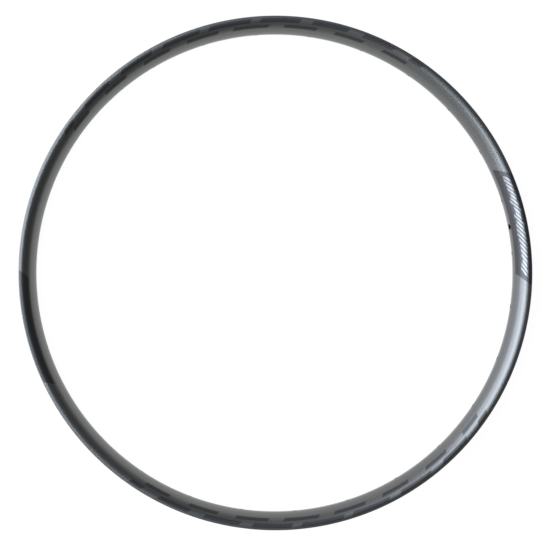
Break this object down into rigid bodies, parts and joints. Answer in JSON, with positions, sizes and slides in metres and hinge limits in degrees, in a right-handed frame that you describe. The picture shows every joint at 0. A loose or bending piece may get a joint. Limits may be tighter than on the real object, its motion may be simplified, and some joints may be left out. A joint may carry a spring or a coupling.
{
  "type": "bicycle rim",
  "caption": "Bare hollow bicycle rim with an offset spoke bed: a tyre seats between its outer lips, and spokes pull on staggered holes around its inner face.",
  "frame": {"origin": "the wheel's centre, in the middle of the rim's width", "axes": "+Z along the wheel's axis, out of the front side; +X through the valve hole; the spoke bed lies towards -Z"},
  "size_m": [0.6339, 0.634, 0.034],
  "materials": {
    "rim": "satin clear lacquer over dark carbon composite, with tone-on-tone print"
  },
  "bodies": {
    "root": {"rim": "rim"}
  },
  "joints": []
}
